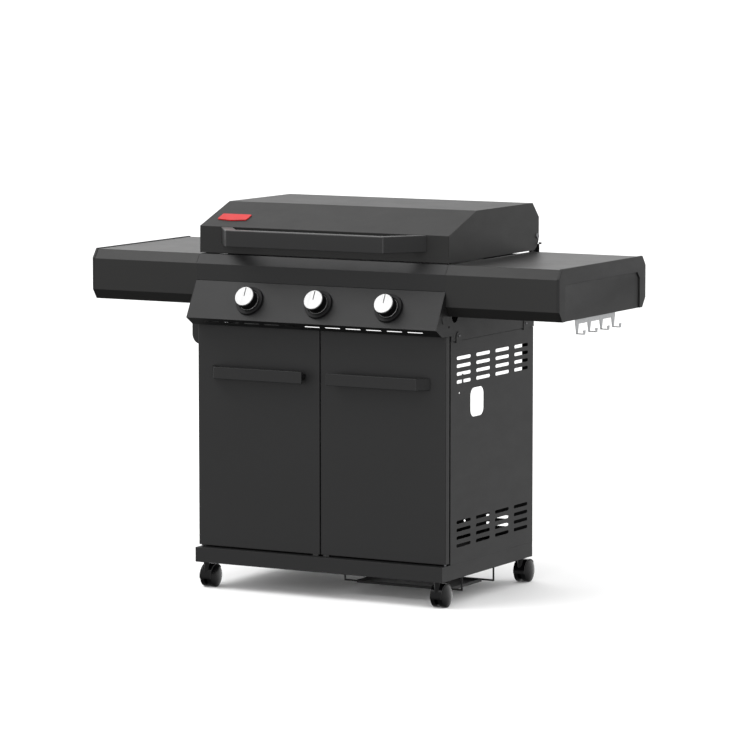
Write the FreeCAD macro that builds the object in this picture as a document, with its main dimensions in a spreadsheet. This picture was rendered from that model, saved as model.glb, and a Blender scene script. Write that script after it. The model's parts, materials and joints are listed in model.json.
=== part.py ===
"""A gas barbecue grill on a closed cabinet: hood, side shelves, three burners and four casters.

The frame is millimetres, +X to the right of a person who stands in front of the grill, -Y to the
front, +Z up. The origin is on the floor, under the middle of the grill.
Every driving dimension is a cell of the sheet "Dimensions", and the features are bound to it.
"""
import FreeCAD
import Part
import Sketcher
import math
import os

doc = FreeCAD.newDocument("gas_grill")
sheet = doc.addObject("Spreadsheet::Sheet", "Dimensions")
Vector = FreeCAD.Vector

# ------------------------------------------------------------------ driving dimensions

DIMENSIONS = {
    # overall
    "overall_width": 1400, "frame_width": 748.8, "cabinet_width": 745.4, "hood_width": 747.6,
    "gauge": 1.5, "plate": 2.0,
    # how far a cut passes the face it opens, the span of a cutting shape, and how deep welds reach
    "overcut": 1, "tool": 20, "weld": 0.5,
    # heights of the main levels
    "caster_height": 70.4, "base_top": 110.3, "cabinet_top": 692, "shelf_height": 894,
    # front and rear faces, as Y positions
    "fascia_front": -227.45, "fascia_edge": -209.25, "shelf_rear": 284.95, "shelf_rear_edge": 265.55,
    "cabinet_front": -195, "cabinet_rear": 278.25, "base_front": -241,
    # shelves and fascia
    "shelf_chamfer_drop": 25, "shelf_face_bottom": 786, "shelf_bottom": 760, "fascia_bottom": 825.3,
    "shelf_return": 12, "fascia_lip": -204.5, "end_cap_depth": 7, "end_cap_rise": 2, "end_cap_wall": 4,
    "end_cap_round": 0.8, "end_cap_hollow": 1.5, "recess_depth": 3.5, "recess_side": 846,
    "recess_top": 855, "recess_front": -192, "recess_front_bend": -185, "recess_rear_bend": 234,
    "recess_rear": 249, "recess_rear_side": 838,
    # control panel
    "panel_tip_y": -279.05, "panel_tip_z": 729.1, "panel_foot_y": -247, "panel_foot_z": 709.3,
    "vent_pitch": 61, "vent_length": 45, "vent_width": 7, "panel_gap": 0.5,
    # frame sides
    "heel_front_y": -244.3, "heel_front_z": 708.6, "heel_rear_z": 708.2, "seam_gap": 1.4,
    "ear_bottom": 708.4, "ear_reach": 20, "ear_front": -224, "ear_rear": -205,
    "boss_mark_y": -235, "boss_mark_z": 754, "boss_mark_radius": 12, "boss_mark_rise": 1.2,
    "round_hole_y": -175.5, "round_hole_z": 758.5, "round_hole_radius": 17,
    "pin_hole_y": -208.5, "pin_hole_z": 733, "pin_hole_radius": 3,
    # knobs and valves, measured along the knob axis from the control panel
    "knob_first_x": -193, "knob_pitch": 208, "knob_y": -253.25, "knob_z": 777.2,
    "bezel_radius": 39.5, "bezel_lip_radius": 38.5, "bezel_bore": 30, "bezel_rise": 8,
    "knob_base_radius": 27.6, "knob_top_radius": 27, "knob_base": 5, "knob_top": 31.5,
    "knob_wall": 4, "knob_hub_radius": 9, "knob_hollow_depth": 18, "cap_thickness": 3.5, "cap_round": 1.2,
    "stem_radius": 4, "stem_inner_end": -36, "stem_outer_end": 22, "stem_flat": 2.6,
    "stem_flat_start": 8, "panel_hole": 7,
    "plug_radius": 8, "plug_inner_end": -45, "plug_outer_end": -23, "plug_blind_end": -43,
    "valve_radius": 12, "valve_inner_end": -50, "valve_outer_end": -16, "valve_cover_start": -22,
    "running_gap": 0.05, "stem_gap": 0.2,
    # gas manifold and burners
    "manifold_radius": 9.5, "manifold_y": -218, "manifold_z": 733, "manifold_length": 640,
    "inlet_x": -302, "inlet_y": -196, "inlet_z": 704, "inlet_end": -150, "inlet_radius": 5.5,
    "inlet_nut_radius": 8, "inlet_nut_start": -186, "inlet_nut_length": 8, "manifold_end": 4,
    "boss_radius": 7, "outlet_radius": 4, "outlet_end": -192,
    "burner_radius": 12, "burner_z": 757, "burner_front": -200, "burner_rear": 225, "port_radius": 1.6,
    "port_pitch": 24, "port_first_y": -150, "burner_gap": 0.5,
    "tamer_half_width": 45, "tamer_low": 790, "tamer_high": 818,
    # firebox and grates
    "firebox_width": 690, "firebox_front": -190, "firebox_rear": 255, "firebox_bottom": 722,
    "firebox_top": 887.5, "firebox_flange": 371, "rim_front": -203, "rim_rear": 272,
    "ledge_top": 861, "ledge_width": 10,
    "drip_hole_radius": 32, "drip_hole_y": 90,
    "grate_rod": 3, "grate_pitch": 14.2, "grate_step": 5, "grate_gap": 2, "grate_inner": 3, "grate_end": 4,
    # grease tray and its rails
    "tray_half_width": 128, "tray_front": -60, "tray_rear": 262, "tray_bottom": 705, "tray_top": 715.5,
    "tray_lip": 10, "tray_lip_end": 12, "pull_half_width": 60, "pull_reach": 10,
    "rail_ledge_top": 713.7, "rail_ledge_width": 10.5, "rail_half_width": 140,
    # hood
    "hood_bottom": 897, "hood_front": -207, "hood_crease": 967.6, "hood_slope_top": -53.7,
    "hood_top": 1023.7, "hood_top_rear": 270, "hood_rear": 307, "hood_rear_crease": 984.6,
    "hood_rear_bottom": 934, "hood_corner_round": 36, "hood_hem": 12,
    "notch_inner": 358, "notch_top": 958,
    "hinge_y": 296.75, "hinge_z": 933.6, "hinge_pin_radius": 4, "hinge_cap_radius": 8,
    "hinge_cap_gap": 0.3, "hinge_cap_height": 2.5, "hinge_cap_chamfer": 1.5,
    "bracket_x": 363, "bracket_thickness": 3, "bracket_low": 850, "bracket_high": 905, "bracket_nose": 5,
    "bracket_crown": 8, "bracket_foot_top": 880, "bracket_foot_width": 24, "bracket_rear": 305,
    "flange_inner": 346, "flange_outer": 376.5, "flange_low": 862, "flange_top": 912,
    "flange_hook_x": 383, "flange_hook_low": 911, "flange_hook_top": 916.5, "flange_clear_x": 375,
    "badge_x": -300, "badge_width": 88, "badge_height": 33, "badge_point": 6, "badge_round": 4,
    "badge_slope_middle": 60.4,
    "badge_thickness": 2.5,
    # hood handle
    "handle_root": 309, "handle_half_bar": 236, "handle_front": -307, "handle_bar_depth": 30,
    "handle_bottom": 924, "handle_top": 967, "handle_round": 10, "handle_edge_round": 3,
    # doors
    "door_front": -222.15, "door_rear": -202, "door_bottom": 115.4, "door_top": 707.2, "door_gap": 1.5,
    "door_edge_round": 3, "door_pin_x": 366, "door_pin_y": -212, "door_pin_radius": 3.5,
    "door_pin_length": 14,
    "door_bar_inner": 36, "door_bar_outer": 304, "door_bar_foot": 328, "door_bar_front": -258,
    "door_bar_depth": 7.5, "door_bar_bottom": 568, "door_bar_top": 599.4, "door_post_x": 50,
    "door_post_width": 12, "door_post_height": 15,
    "catch_inner": 8, "catch_outer": 24, "catch_front": -219, "catch_rear": -205, "catch_height": 4.7,
    # cabinet panels
    "slot_length": 79, "slot_width": 9, "slot_pitch": 109.4, "slot_row_pitch": 20.6,
    "slot_first_y": -121.2, "upper_slot_z": 585.3, "lower_slot_z": 156,
    "hand_hole": 76, "hand_hole_round": 20, "hand_hole_y": -46.3, "hand_hole_z": 524,
    "lock_hole_y": -145.4, "lock_hole_z": 556, "lock_hole_radius": 3,
    "rear_flange": 33, "front_flange": 24, "stop_top": 122, "upstand_overlap": 10, "upstand_height": 15.8,
    "tab_width": 30, "tab_round": 14.5, "tab_top": 718, "tab_bottom": 688.5,
    "front_tab_y": -154, "rear_tab_y": 230,
    "rear_panel_top": 330, "rear_slot_x": 273.5, "rear_slot_z": 151,
    "rear_hole_x": 168, "rear_hole_z": 153, "rear_hole_radius": 3,
    "frame_rear_bottom": 730, "frame_rear_top": 880,
    # gas bottle tray
    "bottle_x": 179, "bottle_y": -4.5, "bottle_hole_radius": 160,
    "bottle_tray_length": 282, "bottle_tray_depth": 177, "bottle_tray_bottom": 25, "bottle_tray_rim": 8,
    "wire_radius": 2.5, "wire_offset": 2, "wire_half_length": 175,
    # small fittings
    "hook_rail_x": 678, "hook_rail_flange": 25, "hook_rail_half": 118, "hook_rail_bottom": 744,
    "hook_bottom": 718,
    "hook_reach": 21, "hook_tip": 11, "hook_wide": 21, "hook_narrow": 10, "hook_pitch": 71,
    "shelf_middle_y": 28.75,
    "screw_radius": 4, "screw_height": 1.8, "screw_chamfer": 1.2, "front_screw_z": 706, "rear_screw_z": 705,
    "opener_reach": 29, "opener_bottom": 650, "opener_top": 709, "opener_front": -200.5,
    "opener_rear": -171, "opener_round": 27, "opener_flange_bottom": 694,
    "match_radius": 2.5, "match_length": 160, "match_y": -102, "match_bottom": 441, "match_inset": 14,
    "match_clip_reach": 6, "match_clip_side": 4, "match_clip_low": 452, "match_clip_high": 560,
    # casters
    "caster_x": 348.7, "front_caster_y": -222.5, "rear_caster_y": 253.75, "caster_trail": 23,
    "wheel_radius": 29.5, "wheel_inner": 5, "tread_outer": 17, "wheel_outer": 23, "axle_radius": 4,
    "axle_half_length": 20, "caster_stem_radius": 5.5, "caster_stem_bottom": 60, "caster_stem_top": 104,
    "post_radius": 8, "post_bottom": 38, "hood_outer_radius": 33, "hood_inner_radius": 31,
    "hood_half_width": 16.5, "hood_low": 25, "hood_rear_reach": 24, "caster_web": 4, "web_radius": 23,
    "socket_radius": 9, "socket_plate": 16, "socket_plate_thickness": 3,
}


class Size:
    """A number together with the sheet formula that gives it."""

    def __init__(self, value, text):
        self.value = value
        self.text = text

    def __add__(self, other):
        other = as_size(other)
        return Size(self.value + other.value, f"({self.text} + {other.text})")

    def __sub__(self, other):
        other = as_size(other)
        return Size(self.value - other.value, f"({self.text} - {other.text})")

    def __mul__(self, other):
        other = as_size(other)
        return Size(self.value * other.value, f"({self.text} * {other.text})")

    def __truediv__(self, other):
        other = as_size(other)
        return Size(self.value / other.value, f"({self.text} / {other.text})")

    def __radd__(self, other):
        return as_size(other) + self

    def __rsub__(self, other):
        return as_size(other) - self

    def __rmul__(self, other):
        return as_size(other) * self

    def __neg__(self):
        return as_size(0) - self


def as_size(number):
    """A plain number as a Size; a Size as it is."""
    return number if isinstance(number, Size) else Size(float(number), repr(float(number)))


def read_sheet():
    """Fill the sheet, and return its cells by alias."""
    cells = {}
    for row, (alias, value) in enumerate(DIMENSIONS.items(), start=1):
        sheet.set(f"A{row}", alias)
        sheet.set(f"B{row}", str(value))
        sheet.setAlias(f"B{row}", alias)
        cells[alias] = Size(float(value), f"Dimensions.{alias}")
    doc.recompute()
    return cells


class Cells:
    """The sheet's cells as attributes."""

    def __init__(self, cells):
        self.__dict__.update(cells)


d = Cells(read_sheet())
NODES = []

# ------------------------------------------------------------------ modelling helpers


def bind(item, prop, number):
    """Bind one property of an object to a formula on the sheet."""
    item.setExpression(prop, as_size(number).text)


def place(item, x, y, z):
    """Bind the position of an object."""
    for axis, number in zip("xyz", (x, y, z)):
        bind(item, f"Placement.Base.{axis}", number)


def node(item, label):
    """Name a finished sub-part and keep it for the export."""
    item.Label = label
    NODES.append(item)
    return item


def box(name, x, y, z):
    """A block between the (low, high) pairs of the three axes."""
    item = doc.addObject("Part::Box", name)
    for prop, (low, high) in zip(("Length", "Width", "Height"), (x, y, z)):
        bind(item, prop, as_size(high) - low)
    place(item, x[0], y[0], z[0])
    return item


AXES = {"X": Vector(1, 0, 0), "Y": Vector(0, 1, 0), "Z": Vector(0, 0, 1)}


def turned_to(axis):
    """The rotation that turns +Z to X, Y, Z or a direction vector."""
    direction = AXES[axis] if isinstance(axis, str) else axis
    return FreeCAD.Rotation(AXES["Z"], direction)


def cylinder(name, radius, length, base, axis="Z"):
    """A round bar from base along X, Y, Z or a direction vector."""
    item = doc.addObject("Part::Cylinder", name)
    bind(item, "Radius", radius)
    bind(item, "Height", length)
    item.Placement = FreeCAD.Placement(Vector(), turned_to(axis))
    place(item, *base)
    return item


def cone(name, low_radius, high_radius, length, base, axis="Z"):
    """A tapered bar from base along X, Y, Z or a direction vector."""
    item = doc.addObject("Part::Cone", name)
    bind(item, "Radius1", low_radius)
    bind(item, "Radius2", high_radius)
    bind(item, "Height", length)
    item.Placement = FreeCAD.Placement(Vector(), turned_to(axis))
    place(item, *base)
    return item


def sphere(name, radius, centre):
    item = doc.addObject("Part::Sphere", name)
    bind(item, "Radius", radius)
    place(item, *centre)
    return item


def fuse(name, *shapes):
    item = doc.addObject("Part::MultiFuse", name)
    item.Shapes = list(shapes)
    return item


def cut(name, base, *tools):
    item = doc.addObject("Part::Cut", name)
    item.Base = base
    item.Tool = tools[0] if len(tools) == 1 else fuse(f"{name}_tools", *tools)
    return item


def common(name, *shapes):
    item = doc.addObject("Part::MultiCommon", name)
    item.Shapes = list(shapes)
    return item


def group(name, *shapes):
    """Separate solids kept together as one sub-part."""
    item = doc.addObject("Part::Compound", name)
    item.Links = list(shapes)
    return item


def mirror(name, source, normal=(1, 0, 0)):
    """The copy of a sub-part on the other side of the middle plane."""
    item = doc.addObject("Part::Mirroring", name)
    item.Source = source
    item.Normal = normal
    return item


def mirrored_pair(right, name):
    """Register a right-hand sub-part, and make its left-hand twin."""
    node(right, f"{name}_right")
    return node(mirror(f"{name}_mirror", right), f"{name}_left")


def new_body(name):
    return doc.addObject("PartDesign::Body", name)


def new_sketch(body, plane, start):
    """An empty sketch on one of the body's origin planes, moved along its normal to start."""
    sketch = body.newObject("Sketcher::SketchObject", f"{body.Name}_sketch")
    support = next(item for item in body.Origin.OriginFeatures if item.Role == f"{plane}_Plane")
    sketch.AttachmentSupport = [(support, "")]
    sketch.MapMode = "FlatFace"
    bind(sketch, "AttachmentOffset.Base.z", start)
    return sketch


def pin(sketch, geometry, end, point):
    """Hold one point of a sketch at a position given by the sheet."""
    for kind, number in zip(("DistanceX", "DistanceY"), point):
        number = as_size(number)
        index = sketch.addConstraint(Sketcher.Constraint(kind, -1, 1, geometry, end, number.value))
        sketch.setExpression(f"Constraints[{index}]", number.text)


def as_vector(point):
    return Vector(as_size(point[0]).value, as_size(point[1]).value, 0)


def draw_polygon(sketch, points):
    """A closed outline of straight lines through the points."""
    first = sketch.GeometryCount
    count = len(points)
    for index in range(count):
        ends = [as_vector(points[index]), as_vector(points[(index + 1) % count])]
        sketch.addGeometry(Part.LineSegment(*ends))
    for index in range(count):
        following = first + (index + 1) % count
        sketch.addConstraint(Sketcher.Constraint("Coincident", first + index, 2, following, 1))
        pin(sketch, first + index, 1, points[index])


def offset_points(points, distance):
    """The corners of the line that runs beside a polyline, distance to its left."""
    corners = [as_vector(point) for point in points]
    normals = []
    for start, end in zip(corners, corners[1:]):
        along = (end - start).normalize()
        normals.append(Vector(-along.y, along.x, 0))
    moved = [corners[0] + normals[0] * distance]
    for corner, before, after in zip(corners[1:], normals, normals[1:]):
        middle = (before + after).normalize()
        moved.append(corner + middle * (distance / middle.dot(before)))
    moved.append(corners[-1] + normals[-1] * distance)
    return moved


def draw_strip(sketch, points, thickness, left=True):
    """The section of a sheet folded along the points, with its thickness on one side."""
    sign = 1 if left else -1
    first = sketch.GeometryCount
    count = len(points) - 1
    outer = [as_vector(point) for point in points]
    inner = offset_points(points, sign * as_size(thickness).value)
    for side in (outer, inner):
        for start, end in zip(side, side[1:]):
            sketch.addGeometry(Part.LineSegment(start, end))
    start_cap = sketch.addGeometry(Part.LineSegment(outer[0], inner[0]))
    end_cap = sketch.addGeometry(Part.LineSegment(outer[-1], inner[-1]))
    for index in range(count):
        line, beside = first + index, first + count + index
        if index + 1 < count:
            sketch.addConstraint(Sketcher.Constraint("Coincident", line, 2, line + 1, 1))
            sketch.addConstraint(Sketcher.Constraint("Coincident", beside, 2, beside + 1, 1))
        pin(sketch, line, 1, points[index])
        sketch.addConstraint(Sketcher.Constraint("Parallel", line, beside))
        gap = sketch.addConstraint(
            Sketcher.Constraint("Distance", beside, 1, line, as_size(thickness).value))
        sketch.setExpression(f"Constraints[{gap}]", as_size(thickness).text)
    last = first + count - 1
    pin(sketch, last, 2, points[-1])
    sketch.addConstraint(Sketcher.Constraint("Coincident", start_cap, 1, first, 1))
    sketch.addConstraint(Sketcher.Constraint("Coincident", start_cap, 2, first + count, 1))
    sketch.addConstraint(Sketcher.Constraint("Coincident", end_cap, 1, last, 2))
    sketch.addConstraint(Sketcher.Constraint("Coincident", end_cap, 2, last + count, 2))
    sketch.addConstraint(Sketcher.Constraint("Perpendicular", start_cap, first))
    sketch.addConstraint(Sketcher.Constraint("Perpendicular", end_cap, last))


def draw_rounded_rectangle(sketch, middle, width, height, radius):
    """A rectangle with four equal round corners; a slot when the radius is half the height."""
    half_width = as_size(width) / 2 - radius
    half_height = as_size(height) / 2 - radius
    rounding = as_size(radius)
    x, y = as_size(middle[0]), as_size(middle[1])
    corners = [(1, 1), (-1, 1), (-1, -1), (1, -1)]
    centres = [(x + half_width * sx, y + half_height * sy) for sx, sy in corners]
    is_slot = half_height.value < 1e-6
    if is_slot:
        centres = [centres[0], centres[1]]
    first = sketch.GeometryCount
    sweep = 2 * math.pi / len(centres)
    for index, centre in enumerate(centres):
        begin = sweep * index - (math.pi / 2 if is_slot else 0)
        circle = Part.Circle(as_vector(centre), Vector(0, 0, 1), rounding.value)
        sketch.addGeometry(Part.ArcOfCircle(circle, begin, begin + sweep))
    count = len(centres)
    for index in range(count):
        ends = [sketch.getPoint(first + index, 2), sketch.getPoint(first + (index + 1) % count, 1)]
        line = sketch.addGeometry(Part.LineSegment(*ends))
        sketch.addConstraint(Sketcher.Constraint("Tangent", first + index, 2, line, 1))
        sketch.addConstraint(Sketcher.Constraint("Tangent", line, 2, first + (index + 1) % count, 1))
    if is_slot:
        pin(sketch, first, 3, centres[0])
        pin(sketch, first + 1, 3, centres[1])
    else:
        for index in range(4):
            pin(sketch, first + index, 3, centres[index])
    size = sketch.addConstraint(Sketcher.Constraint("Radius", first, rounding.value))
    sketch.setExpression(f"Constraints[{size}]", rounding.text)


def draw_circle(sketch, middle, radius):
    circle = sketch.addGeometry(Part.Circle(as_vector(middle), Vector(0, 0, 1), as_size(radius).value))
    pin(sketch, circle, 3, middle)
    size = sketch.addConstraint(Sketcher.Constraint("Radius", circle, as_size(radius).value))
    sketch.setExpression(f"Constraints[{size}]", as_size(radius).text)


def pad(body, sketch, length):
    feature = body.newObject("PartDesign::Pad", f"{body.Name}_pad")
    feature.Profile = sketch
    bind(feature, "Length", length)
    return feature


def pocket(body, sketch, depth=None):
    """Cut the sketch out of the body: through it both ways, or to a depth along its normal."""
    doc.recompute()
    before = body.Shape.Volume
    feature = body.newObject("PartDesign::Pocket", f"{body.Name}_pocket")
    feature.Profile = sketch
    if depth is None:
        feature.Type = "ThroughAll"
        feature.SideType = "Symmetric"
    else:
        feature.Reversed = True
        bind(feature, "Length", depth)
    doc.recompute()
    if body.Shape.Volume > before - 0.01:
        raise RuntimeError(f"a pocket of {body.Name} cuts nothing")
    return feature


def repeat(body, feature, sketch, columns, column_pitch, rows, row_pitch):
    """Repeat a feature along the sketch's horizontal axis and its vertical one."""
    grid = body.newObject("PartDesign::MultiTransform", f"{body.Name}_grid")
    grid.Originals = [feature]
    steps = []
    for axis, count, pitch in (("H_Axis", columns, column_pitch), ("V_Axis", rows, row_pitch)):
        step = body.newObject("PartDesign::LinearPattern", f"{body.Name}_{axis}")
        step.Direction = (sketch, [axis])
        step.Mode = "Spacing"
        step.Occurrences = count
        bind(step, "Offset", pitch)
        steps.append(step)
    grid.Transformations = steps
    body.Tip = grid


def fillet(body, radius, wanted):
    """Round the edges of the body that the function wanted picks."""
    doc.recompute()
    edges = [f"Edge{number}" for number, edge in enumerate(body.Tip.Shape.Edges, start=1) if wanted(edge)]
    base = body.Tip
    feature = body.newObject("PartDesign::Fillet", f"{body.Name}_fillet")
    feature.Base = (base, edges)
    bind(feature, "Radius", radius)
    return feature


def runs_along(edge, axis):
    """True for a straight edge that is parallel to X, Y or Z."""
    ends = [vertex.Point for vertex in edge.Vertexes]
    if len(ends) != 2 or not isinstance(edge.Curve, Part.Line):
        return False
    return abs((ends[1] - ends[0]).normalize().dot(AXES[axis])) > 0.9999


def near(first, second):
    return abs(first - as_size(second).value) < 0.05


def prism(name, plane, points, start, length):
    """A straight-sided plate: an outline on a plane, with its thickness along the normal."""
    body = new_body(name)
    sketch = new_sketch(body, plane, start)
    draw_polygon(sketch, points)
    pad(body, sketch, length)
    return body


def folded(name, plane, points, thickness, start, length, left=True):
    """A folded sheet: its section on a plane, and its length along the normal."""
    body = new_body(name)
    sketch = new_sketch(body, plane, start)
    draw_strip(sketch, points, thickness, left)
    pad(body, sketch, length)
    return body


# ------------------------------------------------------------------ cabinet

HALF_CABINET = d.cabinet_width / 2
HALF_FRAME = d.frame_width / 2
HALF_HOOD = d.hood_width / 2
SIDE_SLOTS = (4, d.slot_pitch, 4, d.slot_row_pitch)
REAR_SLOTS = (2, d.rear_slot_x * 2, 2, d.slot_row_pitch)


def base_panel():
    """The pan under the cabinet, open below, with a hole for the gas bottle and a stop for the doors."""
    shell = box("base_block", (-HALF_CABINET, HALF_CABINET), (d.base_front, d.cabinet_rear),
                (d.caster_height, d.base_top))
    hollow = box("base_hollow", (d.gauge - HALF_CABINET, HALF_CABINET - d.gauge),
                 (d.base_front + d.gauge, d.cabinet_rear - d.gauge),
                 (d.caster_height - d.overcut, d.base_top - d.gauge))
    hole = cylinder("base_hole", d.bottle_hole_radius, d.base_top - d.caster_height + d.overcut,
                    (d.bottle_x, d.bottle_y, d.caster_height))
    stop_end = HALF_CABINET - d.front_flange - d.panel_gap
    stop = box("base_stop", (-stop_end, stop_end), (d.cabinet_front, d.cabinet_front + d.gauge),
               (d.base_top - d.weld, d.stop_top))
    node(fuse("base", cut("base_shell", shell, hollow, hole), stop), "base_panel")


def side_panels():
    """The cabinet's sides: two fields of slots, a hand hole, edge flanges and two joining tabs."""
    body = new_body("side_panel")
    inner_face = HALF_CABINET - d.gauge
    outline = new_sketch(body, "YZ", inner_face)
    draw_polygon(outline, [(d.cabinet_front, d.base_top), (d.cabinet_rear, d.base_top),
                           (d.cabinet_rear, d.cabinet_top), (d.cabinet_front, d.cabinet_top)])
    pad(body, outline, d.gauge)
    flanges = new_sketch(body, "XY", d.base_top)
    for edge_y, reach in ((d.cabinet_rear - d.gauge, d.rear_flange), (d.cabinet_front, d.front_flange)):
        draw_polygon(flanges, [(HALF_CABINET - reach, edge_y), (HALF_CABINET, edge_y),
                               (HALF_CABINET, edge_y + d.gauge), (HALF_CABINET - reach, edge_y + d.gauge)])
    pad(body, flanges, d.cabinet_top - d.base_top)
    upstand = new_sketch(body, "XY", d.cabinet_top - d.upstand_overlap)
    upstand_face = inner_face - d.gauge
    draw_polygon(upstand, [(HALF_CABINET - d.front_flange, d.cabinet_front), (inner_face, d.cabinet_front),
                           (inner_face, d.cabinet_rear - d.gauge), (upstand_face, d.cabinet_rear - d.gauge),
                           (upstand_face, d.cabinet_front + d.gauge),
                           (HALF_CABINET - d.front_flange, d.cabinet_front + d.gauge)])
    pad(body, upstand, d.upstand_overlap + d.upstand_height)
    joggles = new_sketch(body, "YZ", inner_face)
    tabs = new_sketch(body, "YZ", HALF_FRAME)
    for middle in (d.front_tab_y, d.rear_tab_y):
        low, high = middle - d.tab_width / 2, middle + d.tab_width / 2
        joggle_top = d.tab_bottom + d.gauge
        draw_polygon(joggles, [(low, d.tab_bottom), (high, d.tab_bottom), (high, joggle_top),
                               (low, joggle_top)])
        draw_polygon(tabs, [(low, d.tab_bottom), (high, d.tab_bottom), (high, d.tab_top),
                            (low, d.tab_top)])
    pad(body, joggles, HALF_FRAME + d.gauge - inner_face)
    pad(body, tabs, d.gauge)
    fillet(body, d.tab_round,
           lambda edge: runs_along(edge, "X") and near(edge.Vertexes[0].Z, d.tab_top))
    for lowest_row in (d.upper_slot_z, d.lower_slot_z):
        sketch = new_sketch(body, "YZ", inner_face)
        draw_rounded_rectangle(sketch, (d.slot_first_y, lowest_row), d.slot_length, d.slot_width,
                               d.slot_width / 2)
        repeat(body, pocket(body, sketch), sketch, *SIDE_SLOTS)
    sketch = new_sketch(body, "YZ", inner_face)
    draw_rounded_rectangle(sketch, (d.hand_hole_y, d.hand_hole_z), d.hand_hole, d.hand_hole,
                           d.hand_hole_round)
    draw_circle(sketch, (d.lock_hole_y, d.lock_hole_z), d.lock_hole_radius)
    pocket(body, sketch)
    mirrored_pair(body, "side_panel")


def rear_panel():
    """The low panel that closes the back of the cabinet, with two pairs of slots and two holes."""
    body = new_body("rear_panel_body")
    inner_width = HALF_CABINET - d.gauge
    sketch = new_sketch(body, "XZ", d.gauge - d.cabinet_rear)
    draw_polygon(sketch, [(-inner_width, d.base_top), (inner_width, d.base_top),
                          (inner_width, d.rear_panel_top), (-inner_width, d.rear_panel_top)])
    pad(body, sketch, d.gauge)
    slots = new_sketch(body, "XZ", d.gauge - d.cabinet_rear)
    draw_rounded_rectangle(slots, (-d.rear_slot_x, d.rear_slot_z), d.slot_length, d.slot_width,
                           d.slot_width / 2)
    repeat(body, pocket(body, slots), slots, *REAR_SLOTS)
    holes = new_sketch(body, "XZ", d.gauge - d.cabinet_rear)
    for x in (-d.rear_hole_x, d.rear_hole_x):
        draw_circle(holes, (x, d.rear_hole_z), d.rear_hole_radius)
    pocket(body, holes)
    node(body, "rear_panel")


# ------------------------------------------------------------------ frame around the firebox


def frame_sides():
    """The side plates that carry the shelves, with the ears that hold the doors' upper pins."""
    body = new_body("frame_side")
    start = HALF_FRAME - d.gauge
    outline = new_sketch(body, "YZ", start)
    draw_polygon(outline, [
        (d.fascia_edge, d.shelf_height), (d.fascia_front, d.shelf_height - d.shelf_chamfer_drop),
        (d.fascia_front, d.fascia_bottom), (d.panel_tip_y, d.panel_tip_z),
        (d.panel_foot_y, d.panel_foot_z), (d.heel_front_y, d.heel_front_z),
        (d.cabinet_front, d.heel_rear_z), (d.cabinet_front, d.cabinet_top + d.seam_gap),
        (d.cabinet_rear, d.cabinet_top + d.seam_gap), (d.cabinet_rear, d.shelf_height)])
    pad(body, outline, d.gauge)
    ear = new_sketch(body, "XY", d.ear_bottom)
    draw_polygon(ear, [(HALF_FRAME - d.ear_reach, d.ear_front), (HALF_FRAME, d.ear_front),
                       (HALF_FRAME, d.ear_rear), (HALF_FRAME - d.ear_reach, d.ear_rear)])
    pad(body, ear, d.gauge)
    embossing = new_sketch(body, "YZ", HALF_FRAME)
    draw_circle(embossing, (d.boss_mark_y, d.boss_mark_z), d.boss_mark_radius)
    pad(body, embossing, d.boss_mark_rise)
    holes = new_sketch(body, "YZ", start)
    draw_circle(holes, (d.round_hole_y, d.round_hole_z), d.round_hole_radius)
    draw_circle(holes, (d.pin_hole_y, d.pin_hole_z), d.pin_hole_radius)
    pocket(body, holes)
    mirrored_pair(body, "frame_side")


def front_fascia():
    """The rail across the front, in line with the shelves."""
    half = HALF_FRAME - d.gauge
    points = [(d.fascia_lip, d.shelf_height), (d.fascia_edge, d.shelf_height),
              (d.fascia_front, d.shelf_height - d.shelf_chamfer_drop), (d.fascia_front, d.fascia_bottom)]
    node(folded("fascia", "YZ", points, d.gauge, -half, half * 2), "front_fascia")


def panel_point(x, height):
    """A point on a knob's axis, at a height over the control panel."""
    return (x, d.knob_y + height * KNOB_AXIS.y, d.knob_z + height * KNOB_AXIS.z)


PANEL_FALL = Vector(0, (d.panel_tip_y - d.fascia_front).value, (d.panel_tip_z - d.fascia_bottom).value)
KNOB_AXIS = PANEL_FALL.normalize().cross(Vector(1, 0, 0))
KNOB_X = [d.knob_first_x + d.knob_pitch * index for index in range(3)]
VENT_COUNT = 11
PORT_COUNT = 15
GRATE_ROD_COUNT = 24
HOOK_COUNT = 4


def control_panel():
    """The sloping panel behind the knobs, with a row of air slots in its underside."""
    half = HALF_FRAME - d.gauge
    points = [(d.fascia_front, d.fascia_bottom - d.panel_gap), (d.panel_tip_y, d.panel_tip_z),
              (d.panel_foot_y, d.panel_foot_z)]
    body = folded("panel_body", "YZ", points, d.gauge, -half, half * 2)
    underside = (as_vector(points[2]) - as_vector(points[1])).normalize()
    middle = (as_vector(points[2]) + as_vector(points[1])) * 0.5
    cutters = []
    for index in range(VENT_COUNT):
        slot = box(f"vent_{index}", (0, d.vent_length), (0, d.vent_width), (0, d.tool))
        slot.Placement = FreeCAD.Placement(
            Vector(), FreeCAD.Rotation(AXES["Y"], Vector(0, underside.x, underside.y)))
        place(slot, d.vent_pitch * (index - VENT_COUNT // 2) - d.vent_length / 2,
              middle.x - d.vent_width * (underside.x / 2) + d.tool * (underside.y / 2),
              middle.y - d.vent_width * (underside.y / 2) - d.tool * (underside.x / 2))
        cutters.append(slot)
    for index, x in enumerate(KNOB_X):
        cutters.append(cylinder(f"stem_hole_{index}", d.panel_hole, d.tool, panel_point(x, d.tool / -2),
                                KNOB_AXIS))
    node(cut("panel", body, *cutters), "control_panel")


def body_rear_panel():
    """The plate across the back of the firebox; the hood's hinge brackets stand on it."""
    half = HALF_FRAME - d.gauge
    node(box("rear_plate", (-half, half), (d.cabinet_rear - d.gauge, d.cabinet_rear),
             (d.frame_rear_bottom, d.frame_rear_top)), "body_rear_panel")


# ------------------------------------------------------------------ firebox, burners and grates


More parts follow.
